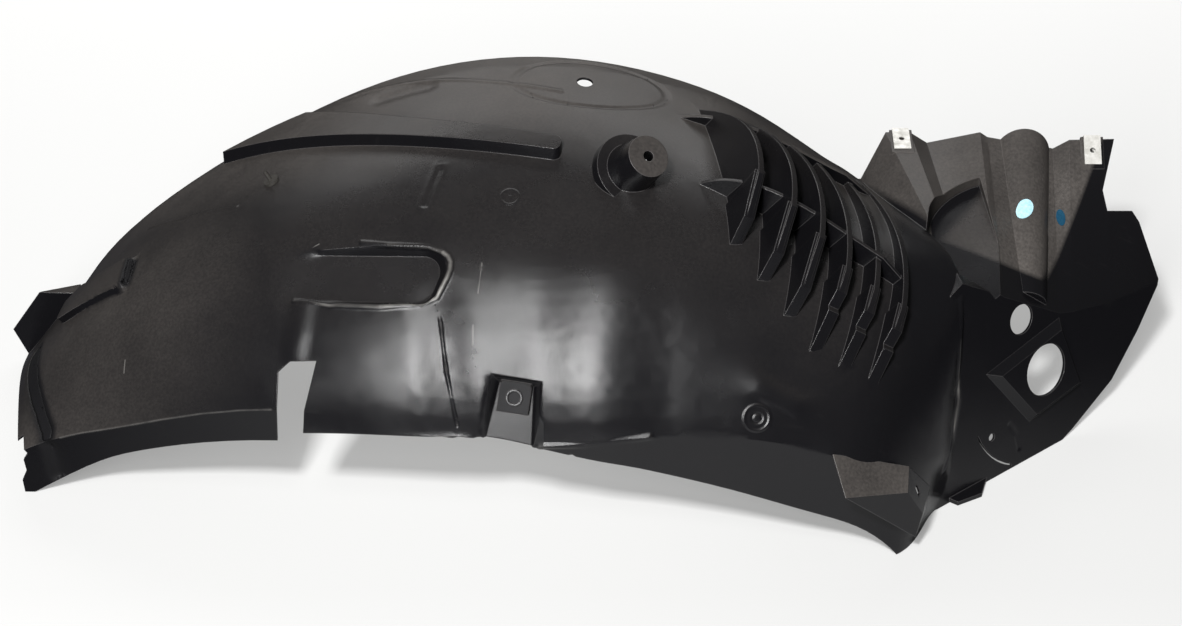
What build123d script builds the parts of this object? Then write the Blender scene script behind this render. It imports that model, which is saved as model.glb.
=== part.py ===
"""Wheel arch liner: one thin moulded shell with a front panel, two spring nuts, a push pin and blank labels."""
import os
from build123d import *

os.makedirs("parts", exist_ok=True)

wall = 2.6

# Stations along the arch, left end first. Each gives the point on the near edge, on the near
# crease, on the shoulder and on the far crease, and how far the two halves of the skin bow
# out, as shares of their length.
stations = [
    ((-492, -98, -6), (-490, -99, 44), (-502, -20, 54), (-520, 100, 8), 0.04, 0.04),
    ((-409, -119, 45), (-406, -120, 85), (-440, -38, 116), (-452, 122, 88), 0.06, 0.05),
    ((-332, -134, 76), (-330, -135, 112), (-365, -50, 172), (-385, 122, 156), 0.07, 0.06),
    ((-259, -147, 90), (-258, -148, 126), (-290, -62, 208), (-310, 122, 208), 0.08, 0.07),
    ((-140, -168, 96), (-139, -169, 119), (-158, -78, 235), (-172, 122, 276), 0.09, 0.06),
    ((-20, -178, 90), (-20, -178, 115), (-32, -85, 242), (-40, 122, 296), 0.09, 0.06),
    ((88, -182, 68), (88, -181, 124), (82, -86, 236), (70, 122, 277), 0.09, 0.06),
    ((180, -184, 38), (180, -182, 111), (176, -78, 218), (155, 122, 239), 0.09, 0.06),
    ((240, -184, 2), (242, -174, 84), (244, -64, 203), (210, 122, 202), 0.08, 0.06),
    ((263, -182, -6), (262, -160, 72), (266, -56, 197), (221, 122, 195), 0.07, 0.06),
    ((286, -160, -6), (282, -140, 62), (288, -48, 190), (232, 122, 187), 0.06, 0.06),
    ((308, -114, -6), (309, -98, 45), (312, -35, 180), (246, 122, 176), 0.03, 0.05),
]
far_flange = 20
far_turn = 12
overrun = 30
drop = 90

# Sweep of the near edge from the notch to the front foot, and the notch, seen from the front
edge_sweep = [
    (-239, 104), (-189, 111), (-140, 115), (-96, 116), (-42, 109), (40, 91), (130, 66), (182, 48), (217, 34),
    (240, 18), (256, 0)]
notch = [(-262, 60), (-256, 154), (-246, 163), (-224, 166), (-235, 128), (-239, 60)]

# Raised rails on the outside of the arch
rail_height = 11
side_rail_height = 7
rail_end_radius = 6
side_rail_radius = 8
rail_near = [(-327, 121), (-256, 73), (-149, 27), (-27, -3)]
rail_far = [(-23, 12), (-75, 25), (-151, 51), (-205, 81), (-250, 114)]
side_rail_origin = (-420, 20, 140)
side_rail_up = (-0.66, 0, 0.75)
side_rail = [(-62, -6), (31, -40), (33, 2), (-62, 40)]

# Flat pocket in the near shoulder, deepest at its right end
pocket_left = (-262, -77.5, 210)
pocket_right = (-119, -97.5, 224)
pocket_out = (-0.12, -0.58, 0.81)
pocket_depth = 8
pocket_width = 40
pocket_corner = 14
pocket_draft = 35
pocket_slant = 14

# Sunk seat for a fastener low on the near wall, its pad and the ring on the pad
seat_origin = (-62.5, -163.4, 150)
seat_out = (-0.06, -0.88, 0.47)
seat_along = (1, -0.05, -0.14)
seat_depth = 10
seat_draft = 0.75
seat_top_width = 28
seat_low_width = 42
seat_rise = 10
seat_fall = 60
seat_pad = 26
seat_pad_rise = 6
seat_ring_radius = 7
seat_ring_wall = 2
seat_ring_rise = 2

# Hollow boss on the crown
boss_base = (29, -8, 268)
boss_axis = (0.42, -0.55, 0.72)
boss_height = 43
boss_base_radius = 23
boss_top_radius = 18
boss_ring_radius = 31
boss_ring_height = 10
boss_hole = 9

# Hole in the crown and the push pin left in the rear slope
crown_hole_place = ((-5.2, 102.2, 292), (1, 0, -0.09), (0.092, -0.089, 0.992))
crown_hole_radius = 7
pin_place = ((-272.3, 31.1, 234.7), (0.91, 0, 0.42), (-0.419, -0.03, 0.908))
pin_hole_radius = 3.5
pin_gap = 0.3
pin_head_radius = 7
pin_head_height = 2.5
pin_stem_length = 12
pin_stub_radius = 1.8
pin_stub_length = 9
pin_stub_lean = (-0.5, 0.1, 0.86)

# Ragged left end of the near strip, seen from the front
tear = [
    (-530, 61), (-494, 61), (-488, 54), (-481.5, 43.5), (-486, 36), (-485, 24), (-490, 13), (-489, -10), (-530, -10)]
tear_near = -125
tear_depth = 40

# Fins: the point where each leaves the skin above and below; the last three have a stepped foot
fin_ends = [
    ((95, 95, 268), (119, -69, 237)),
    ((132, 101, 253), (141, -95, 219)),
    ((159, 103, 239), (162, -117, 199)),
]
stepped_fin_ends = [
    ((185, 105, 223), (182, -136, 176)),
    ((213, 110, 202), (204, -143, 160)),
    ((237, 103, 192), (227, -145, 144)),
]
fin_crown = [(0, 0), (0.25, 0.58), (0.6, 1), (0.8, 0.9)]
fin_foot = [(0.95, 0.42), (1, 0)]
stepped_foot = [(0.86, 0.72), (0.89, 0.5), (0.91, 0.5), (1, 0)]
fin_pad = [(0.76, 0), (0.78, 0.9)]
fin_draw = (0.5, -0.35, 0.79)
fin_height = 58
fin_wall = 5
fin_pad_wall = 10
fin_root = 14
tie_ends = [((76, 74, 274), (240, 62, 201)), ((91, -12, 261), (261, -72, 194))]
tie_heights = (22, 31)
tie_crown = [(0, 0), (0.13, 0.7), (0.5, 1), (0.85, 0.7)]
tie_foot = [(1, 0.2)]
tie_wall = 3

# Soft bulge on the near wall, box over the front foot and square boss at the left end
bulge_ends = ((122, -144, 157), (175, -154, 130))
bulge_radius = 20
foot_box = [
    (196, -184, 109), (262, -168, 83.5), (206, -210, 84), (260, -187, 71), (275, -180, 43), (284, -150, 48),
    (270, -184, 21), (282, -150, 22), (225, -150, 66), (262, -138, 36)]
foot_hole = (6, 9, 12)
foot_hole_place = ((270.4, -171.2, 60.7), (0.339, 0.863, 0), (0.863, -0.339, 0.378))
end_boss = [
    (-498, 80, 87), (-466, 80, 86), (-527, 80, 46), (-514, 80, 12), (-470, 80, 48), (-498, 80, 4),
    (-502, 106, 70), (-466, 106, 78), (-529, 106, 29), (-517, 106, 3), (-470, 106, 40)]
moulding_share = 0.88

# Front panel: a wall on the floor and a sloping top whose folds run from the crest behind,
# given by width and height, to the brow of the wall, given along it and up it
panel_foot = (308, -113, 0)
panel_along = (0.783, 0.622, 0)
panel_out = (0.6, -0.755, 0.264)
panel_back = 150
panel_folds = [
    ((233, 174), (30, 183)), ((264, 213), (45, 189)), ((286, 213), (50, 186)), ((302, 202), (56, 182)),
    ((349, 213), (85, 164)), ((356, 208), (92, 158)), ((416, 196), (154, 119)), ((430, 205), (170, 114)),
    ((470, 206), (215, 105)), ((540, 196), (310, 98))]
panel_depth = 60
panel_inner = (-0.5, 1.6, -3.2)
panel_sight = (0.215, 0.817, -0.529)
left_sight = (0.108, 0.845, -0.524)
panel_edge = [(281, 99), (249, 65), (210, 31), (155, 5), (125, -6)]
panel_corner = [(470, 260), (470, 205), (467, 151), (474, 129), (496, 129), (504, 117), (529, 56), (529, 20)]
panel_left = [(245, 164), (264.5, 213.5), (264.5, 300), (150, 300), (150, 164)]
big_hole = (124, 78)
big_hole_radius = 23.5
mid_hole = (108, 131)
mid_hole_radius = 13.5
small_hole = (58, 38)
small_hole_radius = 3.5
pad_corners = [(60, 98), (104, 34), (172, 44), (153, 115)]
pad_rise = 7
pad_draft = 45
crack = [(42, 45), (54, 22), (77, 3)]
crack_width = 1.4
toe = [(300, -106), (345, -80), (341, -92), (337, -105), (315, -117)]
toe_height = 4

# Scoop beside the round ridge in the panel's top
scoop_rim = (327.1, 106.9, 197.7)
scoop_across = (0.9968, -0.0185, 0.0778)
scoop_out = (-0.08, -0.23, 0.97)
scoop_depth = 11
scoop_arc = [(-32, -54), (-14.7, -26), (16.6, -7.5)]
scoop_sides = [(16.6, -7.5), (22.5, -54.5), (27.8, -98.5), (24, -143), (-39, -138), (-37, -80), (-32, -54)]
ridge_ends = ((376.5, 5, 126), (389, 165, 195))
ridge_radii = (19.5, 26)

# Flat tabs on the crest and the spring nuts pushed over them
tab_places = [
    ((277.5, 150, 213.8), (1, 0, 0), (0, -0.163, 0.987)), ((450, 149.5, 206.2), (1, 0, 0), (0, -0.652, 0.758))]
tab_wall = 5
tab_width = 20
tab_length = 30
tab_overhang = 2
tab_hole_radius = 4
nut_width = 15
nut_outer_length = 24
nut_inner_length = 18
nut_sheet = 1
nut_gap = 0.3
nut_hole_radius = 2.5
nut_collar_radius = 4.5
nut_collar_length = 5
nut_hole_inset = 11

# Blank labels: one bent round the ridge, one lying on the fold beside it
label_gap = 0.3
label_sheet = 0.5
label_size = (7, 10.5)
label_place = ((381, 72, 184), (-0.13, -0.36, 0.92))
side_label_size = (4, 8)
side_label_place = ((417.5, 88.5, 161.5), (1, 0, 0.13), (-0.115, -0.51, 0.852))


def skin_points(station, grow):
    """Points of one section of the skin in its own plane, moved out by grow."""
    edge, crease, shoulder, far, bow_low, bow_high = station
    crease = Vector(*crease)
    shoulder = Vector(*shoulder)
    far = Vector(*far)
    plane = Plane(crease, far - crease, (far - crease).cross(shoulder - crease))
    edge = plane.to_local_coords(Vector(*edge))
    top = plane.to_local_coords(shoulder)
    end = plane.to_local_coords(far)
    low = top / 2 + Vector(-top.Y, top.X) * bow_low
    run = end - top
    high = top + run / 2 + Vector(-run.Y, run.X) * bow_high
    brim = end + (end - high).normalized().rotate(Axis.Z, -far_turn) * far_flange
    points = [Vector(p.X, p.Y) for p in (edge, Vector(0, 0), low, top, high, end, brim)]
    moved = []
    for i, p in enumerate(points):
        along = points[min(i + 1, len(points) - 1)] - points[max(i - 1, 0)]
        moved.append(p + Vector(-along.Y, along.X).normalized() * grow)
    return plane, moved


def arch_form(grow, open_side=False):
    """The arch as a filled form, its skin moved out by grow, or the space under the skin."""
    with BuildPart() as form:
        for station in stations:
            plane, (edge, crease, low, top, high, end, brim) = skin_points(station, grow)
            with BuildSketch(plane):
                with BuildLine():
                    Line(edge, crease)
                    Spline(crease, low, top, high, end)
                    if open_side:
                        lead = brim + (brim - end).normalized() * overrun
                        tail = edge + (edge - crease).normalized() * overrun
                        sink = Vector(0, drop)
                        Polyline(end, lead, lead - sink, tail - sink, tail, edge)
                    else:
                        Polyline(end, brim, edge)
                make_face()
        loft()
    return form.part


def drawn_in(row, inset):
    """A row of plan points moved in from its side and from both its ends."""
    points = [Vector(*p) for p in row]
    moved = []
    for i, p in enumerate(points):
        along = (points[min(i + 1, len(points) - 1)] - points[max(i - 1, 0)]).normalized()
        end = along * inset if i == 0 else -along * inset if i == len(points) - 1 else Vector(0, 0)
        moved.append(p + Vector(-along.Y, along.X) * inset + end)
    return moved


def top_rail(inset):
    """Raised rail along the crown; inset draws it in for the space under it."""
    near = drawn_in(rail_near, inset)
    far = drawn_in(rail_far, inset)
    with BuildPart() as form:
        with BuildSketch():
            with BuildLine():
                Spline(*near)
                Line(near[-1], far[0])
                Spline(*far)
                Line(far[-1], near[0])
            make_face()
            fillet(vertices().sort_by(Axis.X)[-2:], rail_end_radius - inset)
        extrude(amount=400)
        add(arch_form(rail_height - inset), mode=Mode.INTERSECT)
    return form.part


def side_rail_form(inset):
    """Low raised rail down the left side; inset draws it in for the space under it."""
    with BuildPart() as form:
        with BuildSketch(Plane(side_rail_origin, (0.75, 0, 0.66), side_rail_up)):
            with BuildLine():
                Polyline(*side_rail, close=True)
            make_face()
            fillet(vertices(), side_rail_radius)
            if inset:
                offset(amount=-inset, mode=Mode.REPLACE)
        extrude(amount=60, both=True)
        add(arch_form(side_rail_height - inset), mode=Mode.INTERSECT)
    return form.part


def pocket(grow):
    """Cutter for the flat pocket; grow enlarges it for the inner side."""
    out = Vector(*pocket_out).normalized()
    left = Vector(*pocket_left)
    along = Vector(*pocket_right) - out * pocket_depth - left
    length = along.length
    floor = Plane(left + along / 2, along, out)
    with BuildPart() as form:
        with BuildSketch(floor.offset(-grow)):
            half = length / 2 + grow
            side = pocket_width / 2 + grow
            Polygon((-half, -side), (half - pocket_slant, -side), (half, side), (-half, side), align=None)
            fillet(vertices(Select.LAST), pocket_corner)
        extrude(amount=pocket_depth * 3, taper=-pocket_draft)
    return form.part


def seat(grow):
    """Cutter for the sunk fastener seat; grow enlarges it for the inner side."""
    plane = Plane(seat_origin, seat_along, seat_out)
    with BuildPart() as form:
        for level in (-seat_depth - grow, seat_depth * 3):
            spread = grow + (level + seat_depth + grow) * seat_draft
            half_top = seat_top_width / 2 + spread
            half_low = seat_low_width / 2 + spread
            with BuildSketch(plane.offset(level)):
                with BuildLine():
                    Polyline(
                        (-half_low, -seat_fall), (half_low, -seat_fall),
                        (half_top, seat_rise + spread), (-half_top, seat_rise + spread), close=True)
                make_face()
        loft(ruled=True)
    return form.part


def boss(grow):
    """Cone boss on its base ring; a negative grow gives the space inside it."""
    with BuildPart() as form:
        with Locations(Plane(boss_base, (0.79, 0.61, 0), boss_axis)):
            Cone(
                boss_base_radius + grow, boss_top_radius + grow, boss_height + grow,
                align=(Align.CENTER, Align.CENTER, Align.MIN))
            Cylinder(
                boss_ring_radius + grow, boss_ring_height + grow,
                align=(Align.CENTER, Align.CENTER, Align.MIN))
    return form.part


def fin(ends, height, thickness, crown, foot):
    """Plate that stands on the skin along the draw direction, with a curved crown and a straight foot."""
    start = Vector(*ends[0])
    run = Vector(*ends[1]) - start
    plane = Plane(start, run, run.cross(Vector(*fin_draw)))
    length = run.length
    rise = [(length * s, height * h) for s, h in crown]
    fall = [(length * s, height * h) for s, h in foot]
    with BuildPart() as form:
        with BuildSketch(plane):
            with BuildLine():
                Spline(*rise)
                Polyline(rise[-1], *fall, (length, -fin_root), (rise[0][0], -fin_root), rise[0])
            make_face()
        extrude(amount=thickness / 2, both=True)
    return form.part


def tube(ends, radii, inset=0.0):
    """Round bar or cone between two points, its first end drawn in by inset."""
    start = Vector(*ends[0])
    run = Vector(*ends[1]) - start
    start += run.normalized() * inset
    with BuildPart() as form:
        with Locations(Plane(start, (1, 0, 0), run)):
            if radii[0] == radii[1]:
                Cylinder(radii[0], run.length, align=(Align.CENTER, Align.CENTER, Align.MIN))
                Sphere(radii[0])
                with Locations((0, 0, run.length)):
                    Sphere(radii[0])
            else:
                Cone(radii[0], radii[1], run.length, align=(Align.CENTER, Align.CENTER, Align.MIN))
    return form.part


def hull(points, share=1.0):
    """Facetted form round the points, drawn in towards their middle by share."""
    middle = Vector(0, 0, 0)
    for p in points:
        middle += Vector(*p) / len(points)
    with BuildPart() as form:
        ConvexPolyhedron([middle + (Vector(*p) - middle) * share for p in points])
    return form.part


def panel_form(reach=0.0):
    """Filled form behind the wall and under the top; reach carries it on past both sides."""
    crest = [Vector(*fold[0]) for fold in panel_folds]
    brow = [Vector(*fold[1]) for fold in panel_folds]
    for row in (crest, brow):
        row[0] += (row[0] - row[1]) * reach
        row[-1] += (row[-1] - row[-2]) * reach
    with BuildPart() as form:
        with BuildSketch(Plane(panel_foot, panel_along, panel_out)):
            with BuildLine():
                Polyline(*brow, (brow[-1].X, -panel_depth), (brow[0].X - panel_depth, -panel_depth), close=True)
            make_face()
        with BuildSketch(Plane((0, panel_back, 0), (1, 0, 0), (0, -1, 0))):
            with BuildLine():
                Polyline(*crest, (crest[-1].X, -panel_depth), (crest[0].X, -panel_depth), close=True)
            make_face()
        loft(ruled=True)
    return form.part


def panel_pad(shift):
    """Raised pad round the big hole with sloping sides, moved along the wall's normal by shift."""
    with BuildPart() as form:
        with BuildSketch(Plane(panel_foot, panel_along, panel_out).offset(shift)):
            with BuildLine():
                Polyline(*pad_corners, close=True)
            make_face()
        extrude(amount=pad_rise, taper=pad_draft)
    return form.part


def scoop(grow):
    """Cutter for the scoop, arched at its head; grow enlarges it for the inner side."""
    with BuildPart() as form:
        with BuildSketch(Plane(scoop_rim, scoop_across, scoop_out).offset(-scoop_depth - grow)):
            with BuildLine():
                ThreePointArc(*scoop_arc)
                Polyline(*scoop_sides)
            make_face()
            if grow:
                offset(amount=grow, mode=Mode.REPLACE)
        extrude(amount=70)
    return form.part


def spring_nut(place):
    """Bent steel clip with a threaded collar, pushed over the edge of a tab."""
    tab = Plane(*place)
    near = tab_overhang + nut_gap
    under = -tab_wall - nut_gap
    with BuildPart() as form:
        with BuildSketch(Plane(tab.origin, tab.y_dir, tab.x_dir)):
            with BuildLine():
                Polyline(
                    (-nut_outer_length, nut_gap), (-nut_outer_length, nut_gap + nut_sheet),
                    (near + nut_sheet, nut_gap + nut_sheet), (near + nut_sheet, under - nut_sheet),
                    (-nut_inner_length, under - nut_sheet), (-nut_inner_length, under),
                    (near, under), (near, nut_gap), close=True)
            make_face()
        extrude(amount=nut_width / 2, both=True)
        with Locations(tab.offset(under - nut_sheet)):
            with Locations((0, -nut_hole_inset, 0)):
                Cylinder(
                    nut_collar_radius, nut_collar_length, align=(Align.CENTER, Align.CENTER, Align.MAX))
                Hole(nut_hole_radius)
    return form.part


with BuildPart() as skin:
    add(arch_form(0))
    add(top_rail(0))
    add(side_rail_form(0))
    add(pocket(0), mode=Mode.SUBTRACT)
    add(seat(0), mode=Mode.SUBTRACT)
    add(boss(0))
    add(tube(bulge_ends, (bulge_radius, bulge_radius)))
    add(hull(foot_box))
    add(hull(end_boss))
with BuildPart() as space:
    add(arch_form(-wall, open_side=True))
    add(top_rail(wall))
    add(side_rail_form(wall))
    add(pocket(wall), mode=Mode.SUBTRACT)
    add(seat(wall), mode=Mode.SUBTRACT)
    add(boss(-wall))
    add(tube(bulge_ends, (bulge_radius - wall, bulge_radius - wall)))
    add(hull(foot_box, moulding_share))
    add(hull(end_boss, moulding_share))

with BuildPart() as fins:
    for ends in fin_ends:
        add(fin(ends, fin_height, fin_wall, fin_crown, fin_foot))
        add(fin(ends, fin_height, fin_pad_wall, fin_pad, fin_foot))
    for ends in stepped_fin_ends:
        add(fin(ends, fin_height, fin_wall, fin_crown, stepped_foot))
        add(fin(ends, fin_height, fin_pad_wall, fin_pad, stepped_foot))
    for ends, height in zip(tie_ends, tie_heights):
        add(fin(ends, height, tie_wall, tie_crown, tie_foot))

with BuildPart() as panel_space:
    with Locations(panel_inner):
        add(panel_form(0.5))
    add(tube(ridge_ends, (ridge_radii[0] - wall, ridge_radii[1] - wall), wall))
    add(scoop(wall), mode=Mode.SUBTRACT)
    add(panel_pad(-wall))

with BuildPart() as panel:
    add(panel_form())
    add(tube(ridge_ends, ridge_radii))
    add(scoop(0), mode=Mode.SUBTRACT)
    add(panel_pad(0))
    add(panel_space.part, mode=Mode.SUBTRACT)
    with BuildSketch(Plane(panel_foot, panel_along, panel_out)):
        with BuildLine():
            Polyline(*panel_edge, (125, -80), (360, -80), (360, 99), close=True)
        make_face()
        with Locations(big_hole):
            Circle(big_hole_radius)
        with Locations(mid_hole):
            Circle(mid_hole_radius)
        with Locations(small_hole):
            Circle(small_hole_radius)
        with BuildLine(mode=Mode.PRIVATE) as crack_line:
            ThreePointArc(*crack)
        SlotArc(crack_line.edge(), crack_width)
    extrude(amount=60, both=True, mode=Mode.SUBTRACT)
    with BuildSketch(Plane((0, panel_back, 0), (1, 0, 0), (0, -1, 0))):
        with BuildLine():
            Polyline(*panel_corner, (700, 20), (700, 260), close=True)
        make_face()
    extrude(amount=260, dir=panel_sight, both=True, mode=Mode.SUBTRACT)
    with BuildSketch(Plane((0, panel_back, 0), (1, 0, 0), (0, -1, 0))):
        with BuildLine():
            Polyline(*panel_left, close=True)
        make_face()
    extrude(amount=80, dir=left_sight, both=True, mode=Mode.SUBTRACT)
    with Locations((400, panel_back + 100, 100)):
        Box(600, 200, 600, mode=Mode.SUBTRACT)
    for place in tab_places:
        with Locations(Plane(*place)):
            with Locations((0, tab_overhang, 0)):
                Box(tab_width, tab_length, tab_wall, align=(Align.CENTER, Align.MAX, Align.MAX))
            with Locations((0, -nut_hole_inset, 0)):
                Cylinder(tab_hole_radius, 40, mode=Mode.SUBTRACT)
    with BuildSketch():
        with BuildLine():
            Polyline(*toe, close=True)
        make_face()
    extrude(amount=toe_height)

with BuildPart() as liner:
    add(skin.part)
    add(fins.part)
    add(panel.part)
    add(space.part, mode=Mode.SUBTRACT)
    with Locations(Plane(*foot_hole_place)):
        Box(*foot_hole, mode=Mode.SUBTRACT)
    seat_plane = Plane(seat_origin, seat_along, seat_out).offset(-seat_depth)
    with Locations(seat_plane):
        Box(seat_pad, seat_pad, seat_pad_rise, align=(Align.CENTER, Align.CENTER, Align.MIN))
    with Locations(seat_plane.offset(seat_pad_rise)):
        Cylinder(seat_ring_radius, seat_ring_rise, align=(Align.CENTER, Align.CENTER, Align.MIN))
        Cylinder(
            seat_ring_radius - seat_ring_wall, seat_ring_rise,
            align=(Align.CENTER, Align.CENTER, Align.MIN), mode=Mode.SUBTRACT)
    with Locations(Plane(boss_base, (0.79, 0.61, 0), boss_axis).offset(boss_height)):
        Cylinder(boss_hole / 2, wall * 4, mode=Mode.SUBTRACT)
    with BuildSketch(Plane((0, -60, 0), (1, 0, 0), (0, -1, 0))):
        with BuildLine():
            Polyline(*notch, close=True)
        make_face()
        with BuildLine():
            Spline(*edge_sweep)
            Polyline(edge_sweep[-1], (edge_sweep[-1][0], -20), (edge_sweep[0][0], -20), edge_sweep[0])
        make_face()
    extrude(amount=200, mode=Mode.SUBTRACT)
    with BuildSketch(Plane((0, tear_near, 0), (1, 0, 0), (0, -1, 0))):
        with BuildLine():
            Polyline(*tear, close=True)
        make_face()
    extrude(amount=-tear_depth, mode=Mode.SUBTRACT)
    with Locations(Plane(*crown_hole_place)):
        Cylinder(crown_hole_radius, wall * 8, mode=Mode.SUBTRACT)
    with Locations(Plane(*pin_place)):
        Cylinder(pin_hole_radius, wall * 8, mode=Mode.SUBTRACT)
    with Locations((0, 0, -100)):
        Box(2000, 2000, 200, mode=Mode.SUBTRACT)

with BuildPart() as spring_nuts:
    for place in tab_places:
        add(spring_nut(place))

with BuildPart() as push_pin:
    with Locations(Plane(*pin_place).offset(pin_gap)):
        Cylinder(pin_head_radius, pin_head_height, align=(Align.CENTER, Align.CENTER, Align.MIN))
        Cylinder(pin_hole_radius - pin_gap, pin_stem_length, align=(Align.CENTER, Align.CENTER, Align.MAX))
    with Locations(Plane(pin_place[0], (0.86, 0, 0.5), pin_stub_lean)):
        Cylinder(
            pin_stub_radius, pin_head_height + pin_stub_length, align=(Align.CENTER, Align.CENTER, Align.MIN))

with BuildPart() as ridge_label:
    add(tube(ridge_ends, [r + label_gap + label_sheet for r in ridge_radii]))
    add(tube(ridge_ends, [r + label_gap for r in ridge_radii]), mode=Mode.SUBTRACT)
    with BuildSketch(Plane(label_place[0], (1, 0, 0.14), label_place[1])):
        Ellipse(*label_size)
    extrude(amount=20, both=True, mode=Mode.INTERSECT)

with BuildPart() as side_label:
    out = Plane(*side_label_place).z_dir
    with Locations(out * (label_gap + label_sheet)):
        add(panel_form())
    with Locations(out * label_gap):
        add(panel_form(), mode=Mode.SUBTRACT)
    with BuildSketch(Plane(*side_label_place)):
        Ellipse(*side_label_size)
    extrude(amount=10, both=True, mode=Mode.INTERSECT)

with BuildPart() as labels:
    add(ridge_label.part)
    add(side_label.part)

whole = liner.part.bounding_box().add(spring_nuts.part.bounding_box())
base = Location((-whole.center().X, -whole.center().Y, -whole.min.Z))
for name, piece in (("liner", liner), ("spring_nuts", spring_nuts), ("push_pin", push_pin), ("labels", labels)):
    with BuildPart() as placed:
        with Locations(base):
            add(piece.part)
    placed.part.label = name
    export_step(placed.part, f"parts/{name}.step")
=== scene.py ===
import math

import bmesh
import bpy
import numpy as np
from mathutils import Matrix, Vector
from mathutils.bvhtree import BVHTree


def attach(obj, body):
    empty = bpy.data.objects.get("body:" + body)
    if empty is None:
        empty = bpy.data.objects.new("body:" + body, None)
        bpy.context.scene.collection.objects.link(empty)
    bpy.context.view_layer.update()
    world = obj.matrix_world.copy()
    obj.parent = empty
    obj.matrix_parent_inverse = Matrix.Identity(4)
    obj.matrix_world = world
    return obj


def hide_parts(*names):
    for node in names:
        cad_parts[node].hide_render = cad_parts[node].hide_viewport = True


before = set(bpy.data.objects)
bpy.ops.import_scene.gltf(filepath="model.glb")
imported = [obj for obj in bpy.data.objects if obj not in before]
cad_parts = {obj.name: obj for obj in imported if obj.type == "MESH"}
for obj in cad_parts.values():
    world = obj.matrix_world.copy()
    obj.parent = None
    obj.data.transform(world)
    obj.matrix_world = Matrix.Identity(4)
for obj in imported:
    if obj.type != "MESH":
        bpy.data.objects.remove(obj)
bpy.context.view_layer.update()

# The liner is one injection moulding in black polypropylene, an arch of thin skin with fins,
# rails, a sunk seat and a folded front block, all in the same satin plastic with a fine grain.
# It has been used, so dust lies on its upper faces. Its folds and rounded edges are coloured paler, partly
# rubbed and partly painted highlight, and dust is left off part of the block, the scoop and the hollows as
# painted shade.
plastic_black = (0.0033, 0.0032, 0.0038, 1)
plastic_worn = (0.012, 0.0115, 0.0115, 1)
dust_grey = (0.098, 0.088, 0.08, 1)
# Pale tones for painted highlights on edges and folds; the second also colours the scratches
edge_highlight_pale = (0.045, 0.043, 0.043, 1)
scratch_and_highlight_pale = (0.26, 0.25, 0.235, 1)
sharp_fold = math.radians(20)
weld_gap = 2e-5
edge_round = 0.0013

# Longest edge of the mesh, longest near a softened form, and edges across each kind of small form
coarsest_edge = 0.018
finest_edge = 0.005
mark_edges = 2.6
ring_edges = 2.2
highlight_line_edges = 1.4
most_cuts = 9
soften_share = 0.6
inside_of_arch = (0, 0.05, 0)

# Lines along the skin that the small forms follow
pocket_lip = [(-0.232, -0.028, 0.229), (-0.158, -0.044, 0.238), (-0.125, -0.049, 0.239),
              (-0.1126, -0.0554, 0.238), (-0.105, -0.0632, 0.233), (-0.109, -0.0731, 0.225),
              (-0.1176, -0.085, 0.2132), (-0.131, -0.0855, 0.209), (-0.176, -0.0825, 0.206),
              (-0.23, -0.073, 0.198)]
pocket_run_out = [(-0.232, -0.028, 0.229), (-0.267, -0.041, 0.211), (-0.262, -0.066, 0.194),
                  (-0.215, -0.076, 0.199)]
pocket_bead = [(-0.18, -0.0388, 0.237), (-0.158, -0.044, 0.238), (-0.125, -0.049, 0.239),
               (-0.1126, -0.0554, 0.238), (-0.1083, -0.0584, 0.2362), (-0.1061, -0.0627, 0.2333),
               (-0.1066, -0.068, 0.2292), (-0.109, -0.0731, 0.225), (-0.1176, -0.085, 0.2132),
               (-0.131, -0.0865, 0.2085), (-0.1635, -0.0865, 0.2055), (-0.2049, -0.0795, 0.2022),
               (-0.235, -0.0692, 0.1996)]
seat_mouth = [(-0.0833, -0.1475, 0.115), (-0.077, -0.1265, 0.164), (-0.034, -0.129, 0.158),
              (-0.032, -0.152, 0.115)]
side_rail = [(-0.463, 0.087, 0.095), (-0.39, 0.055, 0.165), (-0.388, 0.012, 0.165),
             (-0.463, 0.03, 0.095)]
rail_mouth = [(-0.3908, 0.014, 0.1631), (-0.3893, 0.042, 0.1644)]
near_swelling = [(0.122, -0.125, 0.163), (0.195, -0.132, 0.128)]
wall_crease = [(-0.117, -0.088, 0.206), (-0.114, -0.099, 0.199), (-0.109, -0.1235, 0.166),
               (-0.1007, -0.1423, 0.1263)]
wall_swelling = [(0.02, -0.08, 0.232), (0.017, -0.112, 0.195), (0.016, -0.13, 0.165),
                 (0.0155, -0.142, 0.135)]
notch_flute = [(-0.227, -0.076, 0.1985), (-0.2305, -0.089, 0.184), (-0.2345, -0.0995, 0.1695)]
dimple_rim = [(-0.117, 0.026, 0.2705), (-0.1295, -0.0155, 0.2555)]
dimple_floor = [(-0.118, 0.022, 0.269), (-0.1288, -0.013, 0.2565)]
crown_crease = [(-0.215, 0.165, 0.255), (-0.1675, 0.152, 0.275), (-0.1194, 0.1409, 0.2873),
                (-0.0503, 0.1214, 0.2934), (-0.0175, 0.1132, 0.2923)]
crown_dent = [(-0.1763, 0.134, 0.271), (-0.1323, 0.1361, 0.284)]
rear_groove = [(-0.483, 0.039, 0.0694), (-0.4756, -0.0141, 0.0725), (-0.4667, -0.0411, 0.0702),
               (-0.4557, -0.0686, 0.0643), (-0.4515, -0.0766, 0.0522), (-0.4492, -0.0737, 0.02)]
rolled_fold = [(-0.0333, -0.15, 0.1115), (-0.0007, -0.1515, 0.1147), (0.0318, -0.1525, 0.1203),
               (0.056, -0.1528, 0.1237)]
front_fold = [(0.3198, -0.0241, 0.1691), (0.3195, -0.0403, 0.1393), (0.3208, -0.0526, 0.0853),
              (0.3164, -0.0682, 0.0543), (0.3089, -0.087, 0.0366)]
slope_bead = [(-0.3818, 0.1011, 0.1598), (-0.3382, 0.0631, 0.196), (-0.2939, 0.0406, 0.2206)]
panel_arc = [(0.3729, -0.0274, 0.039), (0.38, -0.026, 0.027), (0.3831, -0.028, 0.0141)]
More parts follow.
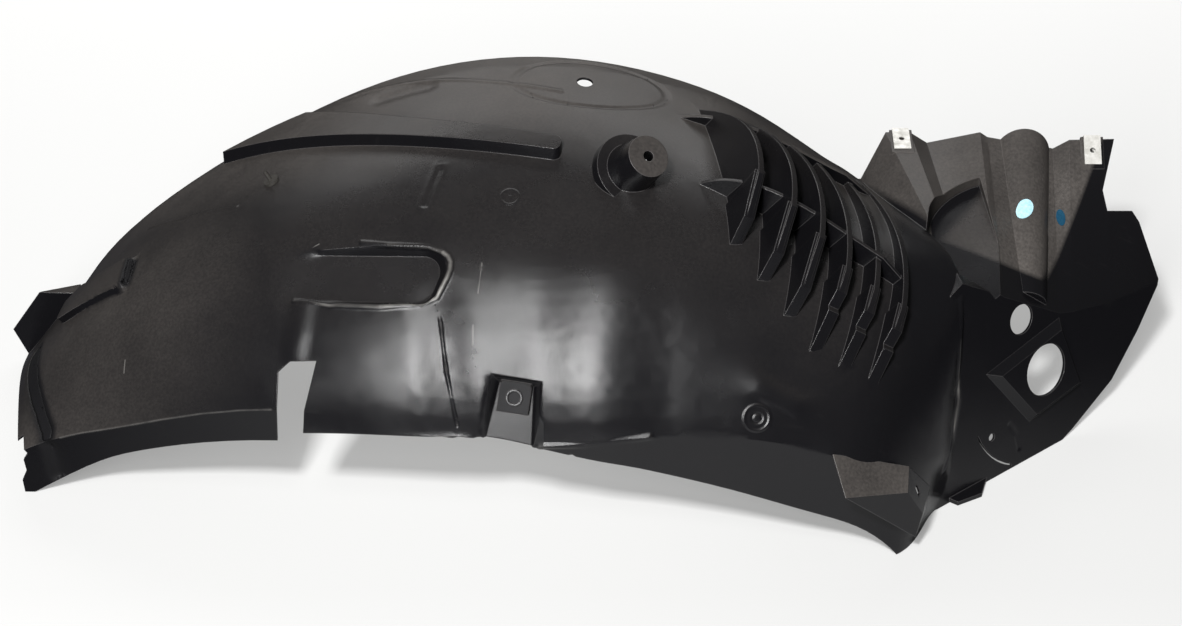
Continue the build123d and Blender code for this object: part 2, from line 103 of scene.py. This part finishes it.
rear_hem = [(-0.4416, -0.0803, 0.0658), (-0.4227, -0.0857, 0.0749), (-0.3858, -0.0958, 0.0895),
            (-0.3501, -0.1031, 0.1024), (-0.3151, -0.1091, 0.1133), (-0.2807, -0.1153, 0.1216),
            (-0.2545, -0.12, 0.126)]

# Forms that the mould rounds: line, reach and rounds of smoothing
soft_lines = [(pocket_lip, 0.006, 5), (pocket_run_out, 0.024, 60), (seat_mouth, 0.005, 4),
              (side_rail, 0.010, 10), (near_swelling, 0.034, 60)]
# Marks raised or sunk along a line: line, half width and height. The wall's crease lies in a valley
mark_lines = [(wall_crease, 0.0019, -0.0006), (wall_crease, 0.03, -0.0018), (wall_swelling, 0.06, 0.004),
              (notch_flute, 0.015, 0.0013), (dimple_rim, 0.0085, 0.0013), (dimple_floor, 0.005, -0.0024),
              (crown_crease, 0.004, 0.0009), (crown_dent, 0.011, -0.0018), (rear_groove, 0.011, -0.0034),
              (rail_mouth, 0.005, -0.005), (pocket_bead, 0.0038, 0.0014), (rolled_fold, 0.004, 0.002),
              (front_fold, 0.005, 0.0014), (slope_bead, 0.0035, 0.0008), (panel_arc, 0.004, -0.0009)]
# Round marks: centre, radius, half width and height
dome_ring = (-0.0585, -0.0121, 0.2641)
near_ring = (0.1426, -0.1465, 0.1377)
mark_rings = [(dome_ring, 0.0075, 0.0018, 0.0005), (dome_ring, 0.0, 0.0026, 0.0005),
              (near_ring, 0.0105, 0.0022, 0.0006), (near_ring, 0.004, 0.0018, -0.0006)]
# The oval line round the hole in the crown, found only on skin above the crown's foot
oval_centre = (0.008, 0.128, 0.29)
oval_halves = (0.066, 0.034, 0.02)
oval_width = 0.0032
oval_height = -0.0009
crown_foot = 0.26
# The hem in front of the notch: its crease falls to the front, and it turns out and up below it
hem_crease_start = -0.2497
hem_crease_height = 0.126
hem_crease_fall = -0.0588
hem_from = -0.2365
hem_to = -0.1
hem_near = -0.1
hem_out = 0.41
hem_up = 0.29

# Hollows painted dark as shade, with no dust and no pale edges: line and half width
shaded_hollows = [(rail_mouth, 0.009), (rear_groove, 0.015)]
hollow_core = 1.6
# Folds and beads coloured pale, partly rubbed and partly a painted highlight where light catches them: line,
# half width and strength
painted_highlight_lines = [(pocket_bead[1:4], 0.002, 0.2), (pocket_bead[3:11], 0.0023, 0.6),
                (pocket_bead[10:], 0.0019, 0.3), (rolled_fold[:3], 0.0026, 1.0),
                (rolled_fold[2:], 0.0022, 0.7), (front_fold[1:4], 0.0024, 0.35), (rear_hem, 0.0014, 0.16)]
# Scratches: both ends of each
scratches = [((0.0131, -0.064, 0.2383), (0.0091, -0.0818, 0.2248)),
             ((0.0091, -0.0818, 0.2248), (0.0123, -0.0887, 0.2188)),
             ((-0.0962, -0.1126, 0.1841), (-0.1011, -0.1197, 0.1733)),
             ((-0.0805, -0.0649, 0.234), (-0.0834, -0.0841, 0.2176)),
             ((-0.0873, -0.1021, 0.1985), (-0.0873, -0.1122, 0.1858)),
             ((-0.2244, -0.0349, 0.2278), (-0.2162, -0.0324, 0.231)),
             ((-0.3833, -0.0563, 0.13), (-0.3837, -0.0647, 0.1227))]
scratch_core = 0.0003
scratch_edge = 0.0007


def welded_copy(node, name):
    """A copy of a CAD node with its loose triangles joined."""
    form = bmesh.new()
    form.from_mesh(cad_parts[node].data)
    bmesh.ops.remove_doubles(form, verts=form.verts, dist=weld_gap)
    mesh = bpy.data.meshes.new(name)
    form.to_mesh(mesh)
    form.free()
    for attribute in ("custom_normal", "sharp_face"):
        if attribute in mesh.attributes:
            mesh.attributes.remove(mesh.attributes[attribute])
    piece = bpy.data.objects.new(name, mesh)
    bpy.context.scene.collection.objects.link(piece)
    return piece


def shade(piece):
    """Smooth shading that breaks at the folds."""
    form = bmesh.new()
    form.from_mesh(piece.data)
    for face in form.faces:
        face.smooth = True
    for edge in form.edges:
        edge.smooth = len(edge.link_faces) == 2 and edge.calc_face_angle(math.pi) < sharp_fold
    form.to_mesh(piece.data)
    form.free()
    flow = piece.modifiers.new("even_shading", "WEIGHTED_NORMAL")
    flow.keep_sharp = True
    flow.weight = 50


def from_line(points, line):
    """Distance of each point from a broken line."""
    nearest = np.full(len(points), np.inf)
    for start, end in zip(np.array(line)[:-1], np.array(line)[1:]):
        run = end - start
        share = np.clip((points - start) @ run / (run @ run), 0, 1)
        nearest = np.minimum(nearest, np.linalg.norm(points - start - share[:, None] * run, axis=1))
    return nearest


def from_ring(points, centre, radius):
    """Distance of each point from a ring in the skin."""
    return abs(np.linalg.norm(points - np.array(centre), axis=1) - radius)


def from_oval(points, centre, halves):
    """Distance of each point from the oval line on the crown."""
    off = (points[:, :2] - np.array(centre)) / np.array(halves)
    on_crown = points[:, 2] > crown_foot
    return np.where(on_crown, abs(np.linalg.norm(off, axis=1) - 1) * min(halves), 1)


def divide(piece, forms):
    """Splits long edges, and those near each small form until the mesh can follow it."""
    form = bmesh.new()
    form.from_mesh(piece.data)
    for step in range(most_cuts):
        form.verts.index_update()
        places = np.array([v.co for v in form.verts])
        ends = places[np.array([[v.index for v in e.verts] for e in form.edges])]
        middle = ends.mean(axis=1)
        length = np.linalg.norm(ends[:, 0] - ends[:, 1], axis=1)
        allowed = np.full(len(length), coarsest_edge)
        for measure, box, reach, finest in forms:
            room = (reach + length / 2)[:, None]
            inside = (middle > np.min(box, axis=0) - room) & (middle < np.max(box, axis=0) + room)
            near = np.flatnonzero(np.all(inside, axis=1))
            near = near[measure(middle[near]) < room[near, 0]]
            allowed[near] = np.minimum(allowed[near], finest)
        long = [e for e, wanted in zip(form.edges, length > allowed) if wanted]
        if not long:
            break
        bmesh.ops.subdivide_edges(form, edges=long, cuts=1)
        bmesh.ops.triangulate(form, faces=[f for f in form.faces if len(f.verts) > 3])
    form.to_mesh(piece.data)
    form.free()


def smooth_step(share):
    """Eases a share from 0 to 1."""
    share = np.clip(share, 0, 1)
    return share * share * (3 - 2 * share)


def soften(places, pairs, gap, reach, rounds):
    """Rounds the form near a line, as a mould with generous radii would."""
    share = smooth_step(1 - gap / reach)[:, None]
    pairs = pairs[(share[pairs[:, 0], 0] > 0) | (share[pairs[:, 1], 0] > 0)]
    count = np.zeros(len(places))
    np.add.at(count, pairs.ravel(), 1)
    count = np.maximum(count, 1)[:, None]
    for step in range(rounds):
        total = np.zeros_like(places)
        np.add.at(total, pairs[:, 0], places[pairs[:, 1]])
        np.add.at(total, pairs[:, 1], places[pairs[:, 0]])
        places += share * soften_share * (total / count - places)


def press(places, corners, gap, width, height):
    """Raises or sinks the outer skin near a line."""
    first, second, third = (places[corners[:, corner]] for corner in range(3))
    sides = np.cross(second - first, third - first)
    normal = np.zeros_like(places)
    for corner in range(3):
        np.add.at(normal, corners[:, corner], sides)
    normal /= np.maximum(np.linalg.norm(normal, axis=1), 1e-12)[:, None]
    outer = np.sum(normal * (places - np.array(inside_of_arch)), axis=1) > 0
    places += normal * (smooth_step(1 - gap / width) * outer * height)[:, None]


def noise(tree, place, scale, detail, rough):
    """One noise texture on the piece's own coordinates."""
    node = tree.nodes.new("ShaderNodeTexNoise")
    node.inputs["Scale"].default_value = scale
    node.inputs["Detail"].default_value = detail
    node.inputs["Roughness"].default_value = rough
    tree.links.new(place, node.inputs["Vector"])
    return node.outputs["Fac"]


def span(tree, value, low, high, to_low, to_high, soft=False):
    """Maps a value from one range to another, clamped at both ends."""
    node = tree.nodes.new("ShaderNodeMapRange")
    node.interpolation_type = "SMOOTHSTEP" if soft else "LINEAR"
    limits = {"From Min": low, "From Max": high, "To Min": to_low, "To Max": to_high}
    for socket, number in limits.items():
        node.inputs[socket].default_value = number
    tree.links.new(value, node.inputs["Value"])
    return node.outputs["Result"]


def join(tree, first, second, kind="ADD"):
    """Adds, or otherwise joins, two values."""
    node = tree.nodes.new("ShaderNodeMath")
    node.operation = kind
    for socket, value in zip(node.inputs, (first, second)):
        if isinstance(value, (int, float)):
            socket.default_value = value
        else:
            tree.links.new(value, socket)
    return node.outputs["Value"]


def times(tree, *values):
    """Multiplies values."""
    product = values[0]
    for value in values[1:]:
        product = join(tree, product, value, "MULTIPLY")
    return product


def vectors(tree, operation, *values):
    """One step of vector arithmetic, on linked or fixed vectors."""
    node = tree.nodes.new("ShaderNodeVectorMath")
    node.operation = operation
    for socket, value in zip(node.inputs, values):
        if isinstance(value, bpy.types.NodeSocket):
            tree.links.new(value, socket)
        else:
            socket.default_value = value
    return node


def across(tree, place, slope, low, high):
    """Rises from 0 to 1 across a plane in the piece."""
    return span(tree, vectors(tree, "DOT_PRODUCT", place, slope).outputs["Value"], low, high, 0, 1)


def scratch(tree, place, start, end):
    """A fine pale line between two points of the skin."""
    run = Vector(end) - Vector(start)
    off = vectors(tree, "SUBTRACT", place, start).outputs["Vector"]
    along = vectors(tree, "DOT_PRODUCT", off, run / run.length_squared).outputs["Value"]
    foot = vectors(tree, "SCALE", run)
    tree.links.new(span(tree, along, 0, 1, 0, 1), foot.inputs["Scale"])
    gap = vectors(tree, "DISTANCE", off, foot.outputs["Vector"]).outputs["Value"]
    return span(tree, gap, scratch_core, scratch_edge, 1.0, 0.0)


def tint(tree, share, first, second):
    """Mixes two colours by a share that changes over the surface."""
    node = tree.nodes.new("ShaderNodeMix")
    node.data_type = "RGBA"
    tree.links.new(share, node.inputs["Factor"])
    for socket, colour in ((node.inputs[6], first), (node.inputs[7], second)):
        if isinstance(colour, tuple):
            socket.default_value = colour
        else:
            tree.links.new(colour, socket)
    return node.outputs[2]


def material(name):
    """A new material with its node tree, its shader and the piece's own coordinates."""
    made = bpy.data.materials.new(name)
    made.use_nodes = True
    tree = made.node_tree
    place = tree.nodes.new("ShaderNodeTexCoord").outputs["Object"]
    return made, tree, tree.nodes["Principled BSDF"], place


def worn(tree, place, speck_scale):
    """Dust and scuffs from the shared wear group."""
    node = tree.nodes.new("ShaderNodeGroup")
    node.node_tree = wear_group
    node.inputs["Speck Scale"].default_value = speck_scale
    tree.links.new(place, node.inputs["Place"])
    return node.outputs["Dust"], node.outputs["Scuffs"]


def dress(piece, made):
    """Gives a piece its smooth shading and its one material."""
    shade(piece)
    piece.data.materials.clear()
    piece.data.materials.append(made)


wear_group = bpy.data.node_groups.new("handling_wear", "ShaderNodeTree")
for name, way, kind in (("Place", "INPUT", "Vector"), ("Speck Scale", "INPUT", "Float"),
                        ("Dust", "OUTPUT", "Float"), ("Scuffs", "OUTPUT", "Float")):
    wear_group.interface.new_socket(name, in_out=way, socket_type="NodeSocket" + kind)
wear_in = wear_group.nodes.new("NodeGroupInput")
wear_out = wear_group.nodes.new("NodeGroupOutput")
clouds = noise(wear_group, wear_in.outputs["Place"], scale=9, detail=5, rough=0.6)
specks = wear_group.nodes.new("ShaderNodeTexNoise")
specks.inputs["Detail"].default_value = 3
wear_group.links.new(wear_in.outputs["Place"], specks.inputs["Vector"])
wear_group.links.new(wear_in.outputs["Speck Scale"], specks.inputs["Scale"])
dust = times(wear_group, span(wear_group, clouds, 0.3, 0.7, 0.5, 1.0),
             span(wear_group, specks.outputs["Fac"], 0.35, 0.7, 0.65, 1.0))
wear_group.links.new(dust, wear_out.inputs["Dust"])
streak_place = wear_group.nodes.new("ShaderNodeMapping")
streak_place.inputs["Rotation"].default_value = (0.2, 0.5, 0.8)
streak_place.inputs["Scale"].default_value = (3, 60, 9)
wear_group.links.new(wear_in.outputs["Place"], streak_place.inputs["Vector"])
streaks = noise(wear_group, streak_place.outputs["Vector"], scale=6, detail=4, rough=0.65)
wear_group.links.new(span(wear_group, streaks, 0.62, 0.78, 0.0, 1.0), wear_out.inputs["Scuffs"])

plastic, tree, shader, place = material("liner_plastic")
shader.inputs["Specular IOR Level"].default_value = 0.4
dust, scuffs = worn(tree, place, speck_scale=420)
facing = tree.nodes.new("ShaderNodeNewGeometry").outputs["Normal"]
turn = tree.nodes.new("ShaderNodeSeparateXYZ")
tree.links.new(facing, turn.inputs["Vector"])
where = tree.nodes.new("ShaderNodeSeparateXYZ")
tree.links.new(place, where.inputs["Vector"])

# Dust settles on faces that look up: the far side of the crown, the rear slope, the foot box, the boss
# and, as a thin film, the rest of the arch. On the block it lies only on the top above a straight line; below
# that line the top stays bare and dark as a painted shadow
film_share = 0.17
boss_top_centre = (0.0545, -0.006, 0.2985)
block_lit_planes = [((0.364, 0.496, 0.789), 0.279, 0.283), ((1, 0.55, 0), 0.331, 0.336),
                ((-1, 0.5, 0), -0.381, -0.377)]
settled = span(tree, turn.outputs["Z"], 0.3, 0.95, 0.0, 1.0, soft=True)
far_crown = span(tree, where.outputs["Y"], -0.03, 0.15, 0.0, 1.0, soft=True)
arch_side = span(tree, where.outputs["X"], 0.262, 0.275, 1.0, 0.0)
# Painted shadow: the block's top is dusty, and so lighter, only on the side of these planes; beyond them it
# stays dark
block_lit_top = times(tree, *[across(tree, place, *plane) for plane in block_lit_planes])
rear_slope = times(tree, span(tree, where.outputs["X"], -0.42, -0.2, 0.75, 0.0, soft=True), settled)
foot_top = times(tree, across(tree, place, (0.41, -0.55, 0.73), 0.2455, 0.2475),
                 span(tree, where.outputs["X"], 0.2, 0.205, 0, 0.9),
                 span(tree, turn.outputs["Z"], 0.55, 0.65, 0, 1),
                 span(tree, where.outputs["Z"], 0.115, 0.12, 1, 0))
film_all_over = times(tree, settled, settled, film_share, arch_side)
from_boss = vectors(tree, "DISTANCE", place, boss_top_centre).outputs["Value"]
boss_top = times(tree, span(tree, from_boss, 0.019, 0.022, 0.9, 0.0), settled)
lying_or_lit = times(tree, settled, far_crown, arch_side)
for part in (block_lit_top, rear_slope, foot_top, film_all_over, boss_top):
    lying_or_lit = join(tree, lying_or_lit, part, "MAXIMUM")

# The scoop's floor, most of all under its arch, and the hollows get less dust, as painted shade where shadow
# falls in them
scoop_planes = [((-0.08, -0.23, 0.97), 0.1222, 0.1226), ((0.08, 0.23, -0.97), -0.1242, -0.1238),
                ((-1, -0.12, 0), -0.3705, -0.369), ((1, 0, 0), 0.305, 0.3065)]
scoop_floor = times(tree, *[across(tree, place, *plane) for plane in scoop_planes])
under_arch = across(tree, place, (-0.782, 0.623, 0), -0.208, -0.198)
hollow_node = tree.nodes.new("ShaderNodeAttribute")
hollow_node.attribute_name = "shaded_hollow"
hollow = hollow_node.outputs["Fac"]
shaded = join(tree, times(tree, scoop_floor, span(tree, under_arch, 0, 1, 0.45, 1.0)), hollow, "MAXIMUM")
dust_and_shade = times(tree, dust, times(tree, lying_or_lit, join(tree, 1, shaded, "SUBTRACT")))

# Bare plastic, paler where scuffed and at the scratches, with painted highlights as pale colour on rounded
# edges and along the listed folds
scuff_share = 0.3
dust_cover = 0.6
scratch_share = 0.22
bare = tint(tree, times(tree, scuffs, scuff_share), plastic_black, plastic_worn)
# Painted highlight: rounded edges are coloured paler, as well as given rounded normals
rounded = tree.nodes.new("ShaderNodeBevel")
rounded.samples = 10
rounded.inputs["Radius"].default_value = edge_round
bend = vectors(tree, "DOT_PRODUCT", rounded.outputs["Normal"], facing).outputs["Value"]
edge_highlight = times(tree, span(tree, bend, 0.985, 0.85, 0.0, 0.7), join(tree, 1, hollow, "SUBTRACT"))
bare = tint(tree, edge_highlight, bare, edge_highlight_pale)
# Painted highlight along the listed folds and beads, mixed with the pale of rubbed plastic
highlight_attribute = tree.nodes.new("ShaderNodeAttribute")
highlight_attribute.attribute_name = "painted_highlight_line"
patchy = span(tree, noise(tree, place, scale=90, detail=3, rough=0.6), 0.3, 0.6, 0.4, 1.0)
bare = tint(tree, times(tree, highlight_attribute.outputs["Fac"], patchy), bare, scratch_and_highlight_pale)
scratched = scratch(tree, place, *scratches[0])
for start, end in scratches[1:]:
    scratched = join(tree, scratched, scratch(tree, place, start, end), "MAXIMUM")
dusted = tint(tree, times(tree, dust_and_shade, dust_cover), bare, dust_grey)
tree.links.new(tint(tree, times(tree, scratched, scratch_share), dusted, scratch_and_highlight_pale), shader.inputs["Base Color"])

# The skin is satin, and duller under dust, in the hollows and on the seat's pad and flap
dust_dulls = 0.3
hollow_dulls = 0.4
flap_dulls = 0.12
pad_dulls = 0.4
seat_out = (-0.06, -0.88, 0.47)
seat_in = (0.06, 0.88, -0.47)
seat_planes = [(seat_out, 0.182, 0.1826), (seat_in, -0.1918, -0.1912), ((1, 0, 0), -0.077, -0.076),
               ((-1, 0, 0), 0.03, 0.031), ((0, 0, -1), -0.163, -0.162)]
gloss = span(tree, noise(tree, place, scale=14, detail=4, rough=0.55), 0.3, 0.7, 0.2, 0.28)
raised_pad = across(tree, place, seat_out, 0.1872, 0.1878)
seat_dull = times(tree, span(tree, raised_pad, 0, 1, flap_dulls, pad_dulls),
                  *[across(tree, place, *plane) for plane in seat_planes])
dull = join(tree, join(tree, times(tree, dust_and_shade, dust_dulls), seat_dull), times(tree, hollow, hollow_dulls))
tree.links.new(join(tree, gloss, dull), shader.inputs["Roughness"])

# A fine grain and a slight waviness, on edges rounded by the mould
grain_depth = 0.08
wave_depth = 0.9
grain = join(tree, times(tree, noise(tree, place, scale=1400, detail=2, rough=0.5), grain_depth),
             times(tree, noise(tree, place, scale=13, detail=2, rough=0.5), wave_depth))
relief = tree.nodes.new("ShaderNodeBump")
relief.inputs["Strength"].default_value = 1.0
relief.inputs["Distance"].default_value = 0.001
tree.links.new(grain, relief.inputs["Height"])
tree.links.new(rounded.outputs["Normal"], relief.inputs["Normal"])
tree.links.new(relief.outputs["Normal"], shader.inputs["Normal"])

liner = welded_copy("liner", "liner_moulding")
forms = []
for line, reach, rounds in soft_lines:
    forms.append((lambda p, line=line: from_line(p, line), line, reach, finest_edge))
for line, width, height in mark_lines:
    forms.append((lambda p, line=line: from_line(p, line), line, width, min(width / mark_edges, finest_edge)))
for line, width, share in painted_highlight_lines:
    forms.append((lambda p, line=line: from_line(p, line), line, width, width / highlight_line_edges))
for centre, radius, width, height in mark_rings:
    around = np.array(centre) + np.array([[-radius], [radius]])
    forms.append((lambda p, centre=centre, radius=radius: from_ring(p, centre, radius),
                  around, width, width / ring_edges))
around = np.array(oval_centre) + np.array([[-1], [1]]) * np.array(oval_halves)
forms.append((lambda p: from_oval(p, oval_centre[:2], oval_halves[:2]),
              around, oval_width, oval_width / ring_edges))
divide(liner, forms)
places = np.array([v.co for v in liner.data.vertices])
pairs = np.array([e.vertices[:] for e in liner.data.edges])
corners = np.array([f.vertices[:] for f in liner.data.polygons])
for line, reach, rounds in soft_lines:
    soften(places, pairs, from_line(places, line), reach, rounds)
for line, width, height in mark_lines:
    press(places, corners, from_line(places, line), width, height)
for centre, radius, width, height in mark_rings:
    press(places, corners, from_ring(places, centre, radius), width, height)
press(places, corners, from_oval(places, oval_centre[:2], oval_halves[:2]), oval_width, oval_height)
# The hem turns out to the front of the notch
below = hem_crease_height + hem_crease_fall * (places[:, 0] - hem_crease_start) - places[:, 2]
hem = (below > 0) & (places[:, 0] > hem_from) & (places[:, 0] < hem_to) & (places[:, 1] < hem_near)
places[hem, 1] -= hem_out * below[hem]
places[hem, 2] += hem_up * below[hem]
# Painted shade: the hollows lose their dust and pale edges, so they stay dark
shaded_hollow = np.zeros(len(places))
for line, width in shaded_hollows:
    shaded_hollow = np.maximum(shaded_hollow, smooth_step(hollow_core * (1 - from_line(places, line) / width)))
painted_highlight_line = np.zeros(len(places))
for line, width, share in painted_highlight_lines:
    painted_highlight_line = np.maximum(painted_highlight_line, share * smooth_step(1 - from_line(places, line) / width))
for name, shares in (("painted_highlight_line", painted_highlight_line), ("shaded_hollow", shaded_hollow)):
    attribute = liner.data.attributes.new(name, "FLOAT", "POINT")
    attribute.data.foreach_set("value", shares.astype(np.float32))
liner.data.vertices.foreach_set("co", places.ravel())
liner.data.update()
dress(liner, plastic)
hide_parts("liner")
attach(liner, "root")

# Each spring nut is a strip of zinc-plated steel, stamped, bent into a U and pushed over a tab
# of the liner, where its sprung lips hold it until a screw is driven into its collar.
zinc_bright = (0.62, 0.61, 0.58, 1)
zinc_dull = (0.38, 0.37, 0.34, 1)
zinc_stain = (0.16, 0.13, 0.1, 1)
stain_share = 0.5
steel, tree, shader, place = material("clip_steel")
shader.inputs["Metallic"].default_value = 0.4
dust, scuffs = worn(tree, place, speck_scale=900)
mottle = noise(tree, place, scale=160, detail=4, rough=0.6)
plated = tint(tree, span(tree, mottle, 0.35, 0.7, 0.0, 1.0), zinc_bright, zinc_dull)
tree.links.new(tint(tree, times(tree, scuffs, stain_share), plated, zinc_stain), shader.inputs["Base Color"])
tree.links.new(span(tree, mottle, 0.3, 0.7, 0.26, 0.5), shader.inputs["Roughness"])
clips = welded_copy("spring_nuts", "steel_clips")
dress(clips, steel)
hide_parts("spring_nuts")
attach(clips, "root")

# The push pin is a moulded plastic fastener left in a hole of the rear slope, its head on the
# skin and its stem broken off to a leaning stub.
pin_black = (0.006, 0.006, 0.006, 1)
pin_dust = (0.04, 0.037, 0.033, 1)
pin_plastic, tree, shader, place = material("pin_plastic")
shader.inputs["Specular IOR Level"].default_value = 0.4
dust, scuffs = worn(tree, place, speck_scale=700)
tree.links.new(tint(tree, dust, pin_black, pin_dust), shader.inputs["Base Color"])
pin_gloss = noise(tree, place, scale=260, detail=3, rough=0.6)
tree.links.new(span(tree, pin_gloss, 0.3, 0.7, 0.3, 0.55), shader.inputs["Roughness"])
pin = welded_copy("push_pin", "broken_push_pin")
dress(pin, pin_plastic)
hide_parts("push_pin")
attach(pin, "root")

# The labels are two small ovals of the same pale blank film, cut from a sheet and stuck on by hand: one
# bent round the ridge of the front block, turned a little, and one on the fold beside it, coloured dark blue as
# painted shade.
pale_blue = (0.24, 0.42, 0.48, 1)
pale_smear = (0.42, 0.52, 0.55, 1)
shaded_label_blue = (0.0018, 0.028, 0.056, 1)
shaded_label_smear = (0.004, 0.042, 0.078, 1)
between_labels = 0.41
label_centre = Vector((0.38926, 0.09895, 0.184))
label_out = Vector((-0.13, -0.36, 0.92)).normalized()
label_turn = Matrix.Rotation(math.radians(-30), 4, label_out)
label_lift = label_out * 0.02
film, tree, shader, place = material("label_film")
shader.inputs["Roughness"].default_value = 0.45
smears = span(tree, noise(tree, place, scale=320, detail=4, rough=0.6), 0.4, 0.72, 0.0, 0.75)
# Painted shade: the label off the ridge is the same film, coloured dark
on_ridge = across(tree, place, (-1, 0, 0), -0.413, -0.411)
tree.links.new(tint(tree, on_ridge, tint(tree, smears, shaded_label_blue, shaded_label_smear),
                    tint(tree, smears, pale_blue, pale_smear)), shader.inputs["Base Color"])
stickers = welded_copy("labels", "blank_labels")
skin = BVHTree.FromPolygons([v.co for v in liner.data.vertices], [f.vertices for f in liner.data.polygons])
for vert in stickers.data.vertices:
    if vert.co.x < between_labels:
        under = skin.ray_cast(vert.co + label_lift, -label_out)[0]
        turned = label_centre + label_turn @ (vert.co - label_centre)
        vert.co = skin.ray_cast(turned + label_lift, -label_out)[0] + vert.co - under
dress(stickers, film)
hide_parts("labels")
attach(stickers, "root")

# The floor is a plain pale painted sweep, lit by one firm lamp above the camera's left shoulder,
# a tall softbox below it, a smaller one above it and a broad glow behind that lifts the crown.
# It mirrors into the skin darker than it looks, and to the camera it glows by itself, more towards the back, as
# a painted glow.
floor_half = 9
floor_seen = (0.33, 0.33, 0.327, 1)
floor_mirrored_near = (0.3, 0.3, 0.3, 1)
floor_mirrored_far = (0.02, 0.02, 0.024, 1)
mirrored_middle = (0.1, -0.35, 0)
glow_near = 0.21
glow_far = 0.66
paint, tree, shader, place = material("pale_floor")
shader.inputs["Roughness"].default_value = 0.6
shader.inputs["Specular IOR Level"].default_value = 0.2
shader.inputs["Emission Color"].default_value = (1, 1, 0.99, 1)
seen = tree.nodes.new("ShaderNodeLightPath").outputs["Is Camera Ray"]
spread = vectors(tree, "DISTANCE", place, mirrored_middle).outputs["Value"]
mirrored = tint(tree, span(tree, spread, 0.25, 0.7, 0, 1, soft=True), floor_mirrored_near, floor_mirrored_far)
tree.links.new(tint(tree, seen, mirrored, floor_seen), shader.inputs["Base Color"])
# Painted glow: camera rays see the floor shine by itself, brighter towards the back
glow = span(tree, across(tree, place, (0, 1, 0), -0.2, 1.2), 0, 1, glow_near, glow_far)
tree.links.new(times(tree, seen, glow), shader.inputs["Emission Strength"])
sheet = bpy.data.meshes.new("floor")
sheet.from_pydata([(-floor_half, -floor_half, 0), (floor_half, -floor_half, 0),
                   (floor_half, floor_half, 0), (-floor_half, floor_half, 0)], [], [(0, 1, 2, 3)])
floor = bpy.data.objects.new("floor", sheet)
floor.data.materials.append(paint)
floor.location = (0, 0, -0.0005)
bpy.context.scene.collection.objects.link(floor)

world = bpy.data.worlds.new("studio")
world.use_nodes = True
background = world.node_tree.nodes["Background"]
background.inputs["Color"].default_value = (1, 1, 1, 1)
background.inputs["Strength"].default_value = 0.07
bpy.context.scene.world = world
bpy.context.scene.view_settings.view_transform = "Standard"
liner_middle = Vector((0, 0.03, 0.12))


def lamp(name, toward, distance, width, height, power):
    """A rectangular lamp in a direction from the middle of the liner, aimed at it."""
    light = bpy.data.lights.new(name, "AREA")
    light.shape = "RECTANGLE"
    light.size = width
    light.size_y = height
    light.energy = power
    holder = bpy.data.objects.new(name, light)
    out = Vector(toward).normalized()
    holder.location = liner_middle + out * distance
    holder.rotation_euler = out.to_track_quat("Z", "Y").to_euler()
    bpy.context.scene.collection.objects.link(holder)
    return holder


key = lamp("key", (-0.144, -0.65, 0.747), distance=3.2, width=0.3, height=0.3, power=180)
key.visible_glossy = False
lamp("tall_softbox", (-0.214, -0.857, 0.47), distance=3.0, width=0.45, height=1.5, power=68)
lamp("upper_softbox", (-0.11, -0.61, 0.79), distance=3.0, width=0.5, height=0.9, power=24)
lamp("back_glow", (0.0, 0.75, 0.66), distance=3.0, width=3.2, height=1.4, power=26)

# The camera stands in front of the near edge and looks down at it, with the photo's long lens.
# Its focal length is in the photo's own pixels.
camera_rise = math.radians(35)
camera_distance = 2.2
focal_pixels = 2530
photo_width = 1182
sensor = 36
camera = bpy.data.objects.new("camera", bpy.data.cameras.new("camera"))
aim = Vector((0.00826, 0.02695, 0.120))
back = Vector((0, -math.cos(camera_rise), math.sin(camera_rise)))
camera.location = aim + back * camera_distance
camera.rotation_euler = back.to_track_quat("Z", "Y").to_euler()
camera.data.sensor_width = sensor
camera.data.lens = sensor * focal_pixels / photo_width
bpy.context.scene.collection.objects.link(camera)
bpy.context.scene.camera = camera
